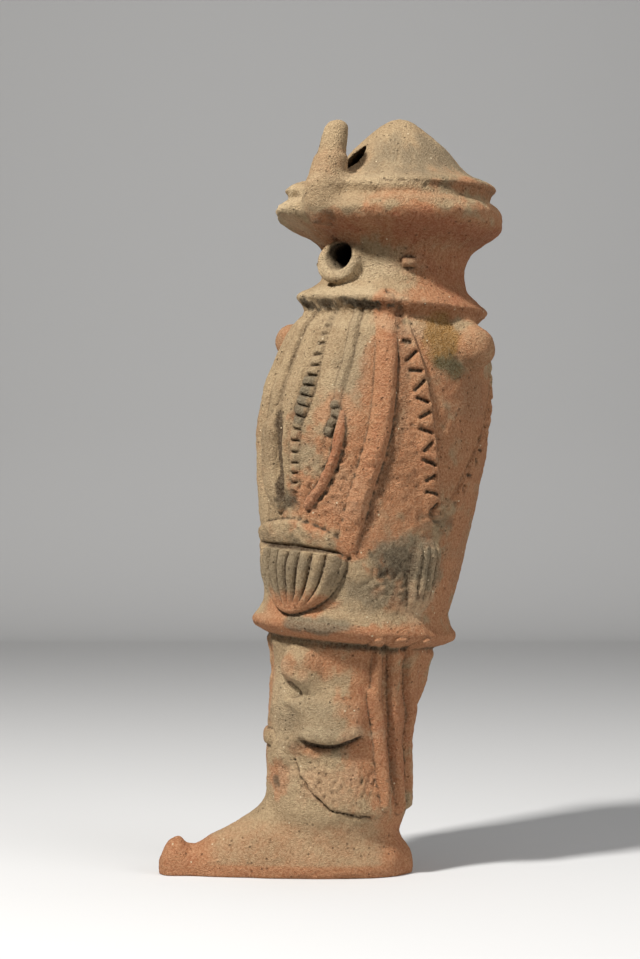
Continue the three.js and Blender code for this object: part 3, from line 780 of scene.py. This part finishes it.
CRUST = (
    (0.75, -26, 74.1, 16, 6), (0.7, -8, 74.2, 18, 5), (0.85, 20, 74.3, 26, 5), (0.25, 76, 89.6, 60, 2.4),
    (0.5, -10, 43.6, 46, 6), (0.45, 16, 44, 30, 5), (0.6, 45, 30.6, 40, 3), (0.6, -18, 12.4, 10, 8),
    (0.65, 58, 41.6, 22, 18), (0.7, -8, 48.6, 14, 10), (0.5, 0, 86, 16, 8), (0.5, 84, 47.4, 20, 12),
)
MOSS = ((0.9, 75, 70.6, 17, 20), (0.5, 72, 72.6, 18, 8))
DAMP = ((0.85, 83, 67.4, 22, 10),)
# Pale slip, and a painted highlight on the tassel and the snout, which the lights leave too dark.
PALE = (
    (0.9, 18, 79.4, 46, 16), (0.9, 4, 76, 70, 9), (0.8, -26, 88, 40, 20), (0.7, -12, 23, 30, 40),
    (0.9, 79, 41, 20, 44), (0.6, 20, 12.6, 60, 24), (0.6, 6, 72, 80, 10), (0.8, 30, 19.2, 50, 8),
    (0.5, 20, 63, 22, 60), (0.5, -40, 33.4, 40, 8), (0.6, 60, 72, 12, 10), (0.9, -34, 87.4, 60, 26),
    (0.7, -22, 75.4, 50, 12), (0.6, 24, 90.6, 60, 8), (0.4, 26, 51, 40, 34), (0.5, -16, 12.4, 60, 16),
    (0.5, 20, 22, 40, 12),
)
# Painted shade, with some grime: under the brim, the belt and the lower fold, in the tassel's left groove and
# the leg's recess, and over the belt's right half and the leg's right side.
SHADE_AND_GRIME = (
    (0.5, -8, 20.4, 18, 12), (0.6, 8, 17.6, 24, 5), (0.7, 70, 41.5, 4, 30), (0.6, 40, 30.4, 50, 4),
    (0.34, 70, 83.6, 250, 13), (0.22, 84, 33, 60, 10), (0.2, 100, 22, 60, 80),
)

# Clay coloured all along a coil or crease, or darkened there with painted shade: (strength, path, width in
# mm, from and to as shares of the path).
ORANGE_LINES = (
    (1.15, BENT_COIL, 6.5, -0.1, 1.1), (1.0, CURTAIN_RIDGE, 13, -0.1, 1.1), (1.0, BELT, 9, 0.3, 0.9),
)
ASH_LINES = (
    (1.25, BEAD_LINE, 6.5, 0.4, 0.62), (0.5, BEAD_LINE, 6, -0.1, 1.1), (0.55, GREY_RIDGE, 6, -0.1, 1.1),
    (1.2, GREY_BEADS, 5.5, -0.1, 1.1), (0.4, FRAME_COIL, 11, 0.2, 1.1),
)
# Painted shade, with some grime, along the panel's groove, the frame coil's crease and the curtain's groove.
SHADE_AND_GRIME_LINES = (
    (0.5, PANEL_GROOVE, 3, -0.1, 1.1), (0.95, FRAME_CREASE, 3.2, -0.1, 0.9),
    (0.5, CURTAIN_GROOVE, 5, -0.1, 1.1),
)


def spots_map(spots, ragged, lines=()):
    """How strongly any of the spots and lines colours each cell, with ragged edges."""
    total = np.zeros((len(ROWS), len(COLUMNS)), np.float32)
    for strength, angle, height, width, tall in spots:
        u = radians((COLUMNS - angle + 180) % 360 - 180)[None] * body_radius(height) * PERCENT / (width / 2)
        v = ((ROWS / PERCENT - height) * PERCENT / (tall / 2))[:, None]
        total = np.maximum(total, strength * ramp(np.hypot(u, v) + ragged, 1.5, 0.4))
    for strength, points, width, start, end in lines:
        trace = Trace(points, width)
        within = ramp(trace.share, start - 0.06, start) * ramp(trace.share, end + 0.06, end)
        total = np.maximum(total, strength * within * ramp(trace.near / (width / 2) + 0.4 * ragged, 1.3, 0.7))
    return total


def softened(values, rows, columns):
    """A map averaged over boxes of so many cells, by sums of its rows and columns."""
    for axis, size in ((0, rows), (1, columns)):
        sums = np.cumsum(np.insert(np.pad(values, [(size, size) if a == axis else (0, 0) for a in (0, 1)],
                                          mode="edge"), 0, 0, axis=axis), axis=axis)
        length = values.shape[axis]
        start = (size + 1) // 2
        high = np.take(sums, np.arange(start + size, start + size + length), axis=axis)
        low = np.take(sums, np.arange(start, start + length), axis=axis)
        values = (high - low) / size
    return values


def paint(obj, relief):
    """Stores how orange, ashy, crusted, mossy, damp, pale and deep the clay is, at each point of its mesh.

    The deep layer is painted shade, with some grime, in recesses and under overhangs. The pale layer is pale
    slip with a painted highlight on raised relief, the tassel and the snout. The last layer is painted shade
    inside the mouth and the vent.
    """
    spots = np.empty(len(obj.data.vertices) * 3)
    obj.data.vertices.foreach_get("co", spots)
    x, y, z = spots.reshape(-1, 3).T / MM
    angle, height, _ = unwrap(x, y, z)
    ragged = 0.35 * noise_map(14, 21) + 0.3 * noise_map(5, 22) + 0.2 * noise_map(2, 23)
    fine = 0.5 * noise_map(3.2, 24) + 0.4 * noise_map(1.4, 25)
    # Painted shade, with some grime, where the relief lies below its surroundings: recesses and creases.
    deep = np.clip((softened(relief, 15, 25) - relief) / 1.0, 0, 1)
    high = np.clip((relief - softened(relief, 15, 25)) / 1.2, 0, 1)
    maps = {
        "orange": spots_map(ORANGE, ragged, ORANGE_LINES), "ash": spots_map(ASH, -ragged, ASH_LINES),
        "crust": spots_map(CRUST, fine), "moss": spots_map(MOSS, ragged), "damp": spots_map(DAMP, ragged),
        # Painted shade, with some grime, in recesses and at the listed spots and lines.
        "deep": np.maximum(deep, spots_map(SHADE_AND_GRIME, 0.6 * fine, SHADE_AND_GRIME_LINES)),
        # Pale slip, and where the relief stands above its surroundings, partly wear and partly painted
        # highlight.
        "pale": np.maximum(spots_map(PALE, ragged), 0.5 * high),
    }
    layers = {name: read_map(values, angle, height) for name, values in maps.items()}
    way = outward(FOOT_ANGLE)
    along = x * way[0] + y * way[1]
    on_foot = np.maximum(ramp(along, 38, 48), ramp(z, 26, 16) * ramp(np.hypot(x, y), 30, 36))
    low = ramp(z, 30, 22)
    toe = np.maximum(ramp(along, 52, 76), ramp(z, 7, 2))
    heel = ramp(along, -12, -30) * 0.8
    layers["orange"] = layers["orange"] * (1 - low) + low * np.clip(0.4 + toe + heel, 0, 1)
    layers["ash"] = layers["ash"] * (1 - low)
    layers["crust"] = layers["crust"] * (1 - low)
    layers["deep"] = layers["deep"] * (1 - on_foot)
    for knob_angle, knob_height, lift, _, _, ball in KNOBS:
        middle = skin(knob_angle, knob_height, lift)
        away = np.sqrt((x - middle[0]) ** 2 + (y - middle[1]) ** 2 + (z - middle[2]) ** 2)
        on_knob = ramp(away, ball + 1.8, ball - 0.2)
        layers["orange"] = layers["orange"] * (1 - on_knob) + 0.6 * on_knob
        for name in ("ash", "moss", "damp"):
            layers[name] = layers[name] * (1 - on_knob)
    on_peg = ramp(peg_field(x, y, z), 1.5, 0.5) * ramp(z, 91.6 * PERCENT, 93 * PERCENT)
    layers["ash"] = layers["ash"] * (1 - on_peg)
    # Painted shade inside the mouth and the vent, darker from 1 mm to 4 mm in.
    layers["soot"] = np.maximum(*(
        ramp(hole, 0.9, 0) * ramp(inside, 1, 4) for hole, inside in hollows_at(x, y, z)
    ))
    for name, values in layers.items():
        layer = obj.data.attributes.new(name, "FLOAT", "POINT")
        layer.data.foreach_set("value", values.astype(np.float32))


def linear(hex_colour):
    """A linear colour from an sRGB hex value."""
    parts = [int(hex_colour[i:i + 2], 16) / 255 for i in (1, 3, 5)]
    return (*(c / 12.92 if c <= 0.04045 else ((c + 0.055) / 1.055) ** 2.4 for c in parts), 1.0)


def mix(tree, factor, a, b, blend="MIX"):
    """Mixes two colours."""
    node = add(tree, "ShaderNodeMix", {"data_type": "RGBA", "blend_type": blend}, Factor_Float=factor,
               A_Color=a, B_Color=b)
    return next(s for s in node.outputs if s.identifier == "Result_Color")


def curve_factor(tree, value, start, end):
    """A value turned to 0 at start and 1 at end."""
    return add(tree, "ShaderNodeMapRange", {"interpolation_type": "SMOOTHSTEP"}, Value=value, From_Min=start,
               From_Max=end).outputs[0]


def fired_clay(settings):
    """Terracotta, coil-built and low-fired, with coarse grit and no glaze.

    It is buff where the fire was cool, orange where it was hot and grey where smoke reached it, and pitted
    where grit fell out. Painted shade darkens its recesses, the brim's underside and the insides of the mouth
    and vent, and a painted highlight lightens raised relief, the tassel and the snout."""
    material = bpy.data.materials.new("low_fired_terracotta")
    material.use_nodes = True
    tree = material.node_tree
    tree.nodes.clear()
    place = add(tree, "ShaderNodeTexCoord").outputs["Object"]

    def layer(name):
        return add(tree, "ShaderNodeAttribute", {"attribute_name": name}).outputs["Fac"]

    def noise(size, detail=2.0, roughness=0.5):
        return add(tree, "ShaderNodeTexNoise", Vector=place, Scale=1 / (size * MM), Detail=detail,
                   Roughness=roughness).outputs[0]

    def weighted(value, factor, more):
        """A value times a factor, and more."""
        node = add(tree, "ShaderNodeMath", {"operation": "MULTIPLY_ADD"}, Value=value)
        node.inputs[1].default_value = factor
        tree.links.new(more, node.inputs[2])
        return node.outputs[0]

    def product(a, b):
        node = add(tree, "ShaderNodeMath", {"operation": "MULTIPLY"}, Value=a)
        tree.links.new(b, node.inputs[1])
        return node.outputs[0]

    def scattered(size, channel, share, spot):
        """Round specks in a share of the cells of a pattern."""
        cells = add(tree, "ShaderNodeTexVoronoi", Vector=place, Scale=1 / (size * MM))
        chance = add(tree, "ShaderNodeSeparateColor", Color=cells.outputs["Color"]).outputs[channel]
        return product(curve_factor(tree, chance, 1 - share, 1.02 - share),
                       curve_factor(tree, cells.outputs["Distance"], spot, spot * 0.55))

    def painted(colour, value, start, end, shade):
        """A colour that gives way to another shade as a value goes from start to end."""
        return mix(tree, curve_factor(tree, value, start, end), colour, linear(shade))

    cloud = noise(24, 4.0, 0.6)
    mottle = noise(5, 3.0, 0.6)
    sand = noise(1.1, 3.0, 0.75)
    grain = noise(0.6, 1.0)
    colour = painted(linear(settings.buff), cloud, 0.35, 0.65, settings.pale_buff)
    hot = weighted(mottle, 0.5, layer("orange"))
    colour = painted(colour, hot, 0.35, 1.1, settings.orange)
    colour = painted(colour, hot, 1.15, 1.6, settings.red)
    # Pale slip, with a painted highlight on raised relief, the tassel and the snout.
    colour = painted(colour, weighted(mottle, 0.5, layer("pale")), 0.4, 1.6, settings.slip)
    smoky = weighted(sand, 0.4, layer("ash"))
    colour = painted(colour, smoky, 0.35, 1.6, settings.ash)
    colour = painted(colour, weighted(mottle, 0.6, layer("moss")), 0.4, 1.2, settings.moss)
    colour = painted(colour, weighted(sand, 0.8, layer("damp")), 0.5, 1.4, settings.damp)
    crust = weighted(mottle, 0.5, weighted(sand, 0.5, layer("crust")))
    colour = painted(colour, crust, 0.75, 1.35, settings.crust)
    # Painted shade, with some grime, in recesses, in creases and under overhangs.
    colour = painted(colour, layer("deep"), 0.1, 1.1, settings.recess)
    grey = curve_factor(tree, sand, 0.3, 0.7)
    colour = mix(tree, grey, mix(tree, 0.32, colour, linear(settings.pit)),
                 mix(tree, 0.2, colour, linear(settings.fleck)))
    pits = scattered(2.1, 0, 0.14, 0.3)
    colour = mix(tree, pits, colour, mix(tree, 0.4, colour, linear(settings.pit)))
    colour = mix(tree, scattered(3.7, 1, 0.16, 0.14), colour, linear(settings.fleck))
    # Painted shade inside the mouth and the vent.
    colour = mix(tree, layer("soot"), colour, linear(settings.soot))
    depth = weighted(pits, -0.9, weighted(grain, 0.7, weighted(mottle, 0.3, sand)))
    bump = add(tree, "ShaderNodeBump", Strength=1.0, Distance=1.1 * MM, Height=depth)
    shader = add(tree, "ShaderNodeBsdfPrincipled", Base_Color=colour, Roughness=0.95, Specular_IOR_Level=0.15,
                 Normal=bump.outputs[0])
    add(tree, "ShaderNodeOutputMaterial", Surface=shader.outputs[0])
    return material


def colour_text(name, default):
    told = f"sRGB hex colour: {name.lower()}"
    return bpy.props.StringProperty(name=name, description=told, default=default)


class ClaySettings(bpy.types.PropertyGroup):
    """Sizes and colours of the figure's clay, and of its painted shade and highlight."""

    cell: bpy.props.FloatProperty(
        name="Cell", description="Finest detail that the clay's surface is modelled with", default=0.55 * MM,
        min=0.4 * MM, max=4 * MM, unit="LENGTH", precision=5)
    faces: bpy.props.IntProperty(
        name="Faces", description="Triangles that the finished surface keeps", default=192000, min=20000)
    dent_size: bpy.props.FloatProperty(
        name="Dent Size", description="Width of the dents that hands left", default=14 * MM, unit="LENGTH",
        precision=5)
    dent_depth: bpy.props.FloatProperty(
        name="Dent Depth", description="Depth of the dents that hands left", default=2.2 * MM, unit="LENGTH",
        precision=5)
    grit_size: bpy.props.FloatProperty(
        name="Grit Size", description="Width of the clay's coarse grit", default=2.2 * MM, unit="LENGTH",
        precision=5)
    grit_height: bpy.props.FloatProperty(
        name="Grit Height", description="Height of the clay's coarse grit", default=0.4 * MM, unit="LENGTH",
        precision=5)
    buff: colour_text("Buff", "#a68b69")
    pale_buff: colour_text("Pale Buff", "#b69c78")
    # Colour of pale slip and of the painted highlight.
    slip: colour_text("Slip", "#cbb490")
    orange: colour_text("Orange", "#b57b54")
    red: colour_text("Red", "#ab623f")
    ash: colour_text("Ash", "#746854")
    moss: colour_text("Moss", "#9a7038")
    damp: colour_text("Damp", "#4c4729")
    crust: colour_text("Crust", "#3a3024")
    # Colour of the painted shade, with some grime, in recesses.
    recess: colour_text("Recess", "#3c281a")
    pit: colour_text("Pit", "#2e1f15")
    fleck: colour_text("Fleck", "#d2c0a0")
    # Colour of the painted shade inside the mouth and the vent.
    soot: colour_text("Soot", "#170e09")


class StudioSettings(bpy.types.PropertyGroup):
    """The studio's lights and sweep."""

    key_power: bpy.props.FloatProperty(
        name="Key Power", description="Power of the main light", default=35, unit="POWER")
    top_power: bpy.props.FloatProperty(
        name="Top Power", description="Power of the wide light overhead", default=8, unit="POWER")
    side_power: bpy.props.FloatProperty(
        name="Side Power", description="Power of the wide light at the right", default=8, unit="POWER")
    fill: bpy.props.FloatProperty(
        name="Fill", description="Strength of the light from all round", default=0.03)
    floor: colour_text("Floor", "#d0d0d0")


class CLAY_OT_figure(bpy.types.Operator):
    """Model the figure's clay with its carving, and paint where it was fired, with painted shade and
    highlight
    """

    bl_idname = "clay.figure"
    bl_label = "Model the Figure"

    def execute(self, context):
        settings = context.scene.clay
        relief = carve()
        points, faces = model(relief, settings.cell / MM)
        figure = new_object("clay_figure", points * MM, faces)
        face_outwards(figure)
        work = figure.modifiers.new("hand_work", "NODES")
        work.node_group = hand_work_tree()
        set_inputs(work, {
            "Dent Size": settings.dent_size, "Dent Depth": settings.dent_depth,
            "Grit Size": settings.grit_size, "Grit Height": settings.grit_height,
            "Material": fired_clay(settings),
        })
        fewer = figure.modifiers.new("fewer_faces", "DECIMATE")
        fewer.ratio = min(1.0, settings.faces / (2 * len(faces)))
        as_plain_mesh(figure)
        paint(figure, relief)
        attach(figure, "root")
        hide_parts(NODE)
        return {"FINISHED"}


CAMERA_ANGLE = 42
CAMERA_AWAY = 1.0414
CAMERA_UP = 0.1773
CAMERA_ASIDE = -0.0083
LENS = 85
HORIZON_SHIFT = 0.0057


def at_camera(right, up, near):
    """A place in metres, by how far it is to the camera's right, up, and towards the camera."""
    towards = outward(CAMERA_ANGLE)
    level = np.array((-towards[1], towards[0])) * right + towards * near
    return (*level, up)


def paper(name, settings):
    """Plain, pale, matt background paper, of one colour."""
    material = bpy.data.materials.new(name)
    material.use_nodes = True
    tree = material.node_tree
    tree.nodes.clear()
    shader = add(tree, "ShaderNodeBsdfPrincipled", Base_Color=linear(settings.floor), Roughness=1.0,
                 Specular_IOR_Level=0.0)
    add(tree, "ShaderNodeOutputMaterial", Surface=shader.outputs[0])
    return material


def aim(obj, target):
    """Points an object's -Z at a place."""
    from_here = np.array(target) - np.array(obj.location)
    obj.rotation_euler = (
        math.acos(-from_here[2] / np.linalg.norm(from_here)),
        0,
        math.atan2(from_here[1], from_here[0]) - math.pi / 2,
    )


def area_light(name, place, size, power, colour=(1, 1, 1)):
    light = bpy.data.lights.new(name, "AREA")
    light.size = size
    light.energy = power
    light.color = colour
    lamp = bpy.data.objects.new(name, light)
    bpy.context.scene.collection.objects.link(lamp)
    lamp.location = place
    aim(lamp, (0, 0, 0.17))
    return lamp


# The sweep in metres: how far it reaches before the figure, where it starts to bend up behind, the bend's
# radius, how high it goes and half its width.
SWEEP_FRONT = 0.3
SWEEP_START = 1.5
SWEEP_BEND = 0.25
SWEEP_HIGH = 1.4
SWEEP_HALF = 0.6
SWEEP_STEPS = 24


def sweep_shape():
    """Points and faces of one sheet of paper, level under the figure and bent up behind it."""
    turns = np.linspace(0, math.pi / 2, SWEEP_STEPS)
    profile = [(-SWEEP_FRONT, 0.0)]
    profile += [(SWEEP_START + SWEEP_BEND * math.sin(a), SWEEP_BEND * (1 - math.cos(a))) for a in turns]
    profile += [(SWEEP_START + SWEEP_BEND, SWEEP_HIGH)]
    points = [at_camera(side * SWEEP_HALF, up, -behind) for behind, up in profile for side in (-1, 1)]
    faces = [(2 * i, 2 * i + 1, 2 * i + 3, 2 * i + 2) for i in range(len(profile) - 1)]
    return points, faces


class CLAY_OT_studio(bpy.types.Operator):
    """Set up the pale sweep, the soft lights and the camera"""

    bl_idname = "clay.studio"
    bl_label = "Set Up the Studio"

    def execute(self, context):
        settings = context.scene.clay_studio
        points, faces = sweep_shape()
        sweep = new_object("studio_sweep", points, faces)
        sweep.data.materials.append(paper("paper_sweep", settings))
        sweep.data.shade_smooth()
        area_light("key_light", at_camera(-0.724, 1.249, 0.75), 0.15, settings.key_power, (1, 0.98, 0.95))
        area_light("top_light", at_camera(0.35, 1.7, 0.0), 1.2, settings.top_power)
        area_light("side_light", at_camera(1.1, 0.6, 0.8), 0.9, settings.side_power)
        world = bpy.data.worlds.new("soft_room")
        world.use_nodes = True
        background = world.node_tree.nodes["Background"]
        background.inputs["Color"].default_value = (1, 1, 1, 1)
        background.inputs["Strength"].default_value = settings.fill
        context.scene.world = world
        context.scene.view_settings.view_transform = "Standard"
        camera = bpy.data.objects.new("camera", bpy.data.cameras.new("camera"))
        camera.data.sensor_fit = "VERTICAL"
        camera.data.sensor_height = 36
        camera.data.lens = LENS
        camera.data.shift_y = HORIZON_SHIFT
        context.scene.collection.objects.link(camera)
        camera.location = at_camera(CAMERA_ASIDE, CAMERA_UP, CAMERA_AWAY)
        camera.rotation_euler = (math.pi / 2, 0, radians(CAMERA_ANGLE))
        context.scene.camera = camera
        return {"FINISHED"}


class CLAY_PT_panel(bpy.types.Panel):
    """Buttons and settings of the terracotta figure"""

    bl_idname = "CLAY_PT_panel"
    bl_label = "Terracotta Figure"
    bl_space_type = "VIEW_3D"
    bl_region_type = "UI"
    bl_category = "Clay"

    def draw(self, context):
        scene = context.scene
        for operator, group in ((CLAY_OT_figure, scene.clay), (CLAY_OT_studio, scene.clay_studio)):
            self.layout.operator(operator.bl_idname)
            for name in group.__annotations__:
                self.layout.prop(group, name)


CLASSES = (ClaySettings, StudioSettings, CLAY_OT_figure, CLAY_OT_studio, CLAY_PT_panel)


def register():
    for made in CLASSES:
        bpy.utils.register_class(made)
    bpy.types.Scene.clay = bpy.props.PointerProperty(type=ClaySettings)
    bpy.types.Scene.clay_studio = bpy.props.PointerProperty(type=StudioSettings)


def unregister():
    del bpy.types.Scene.clay
    del bpy.types.Scene.clay_studio
    for made in reversed(CLASSES):
        bpy.utils.unregister_class(made)


def main():
    register()
    bpy.ops.clay.studio()
    bpy.ops.clay.figure()


if __name__ == "__main__":
    main()
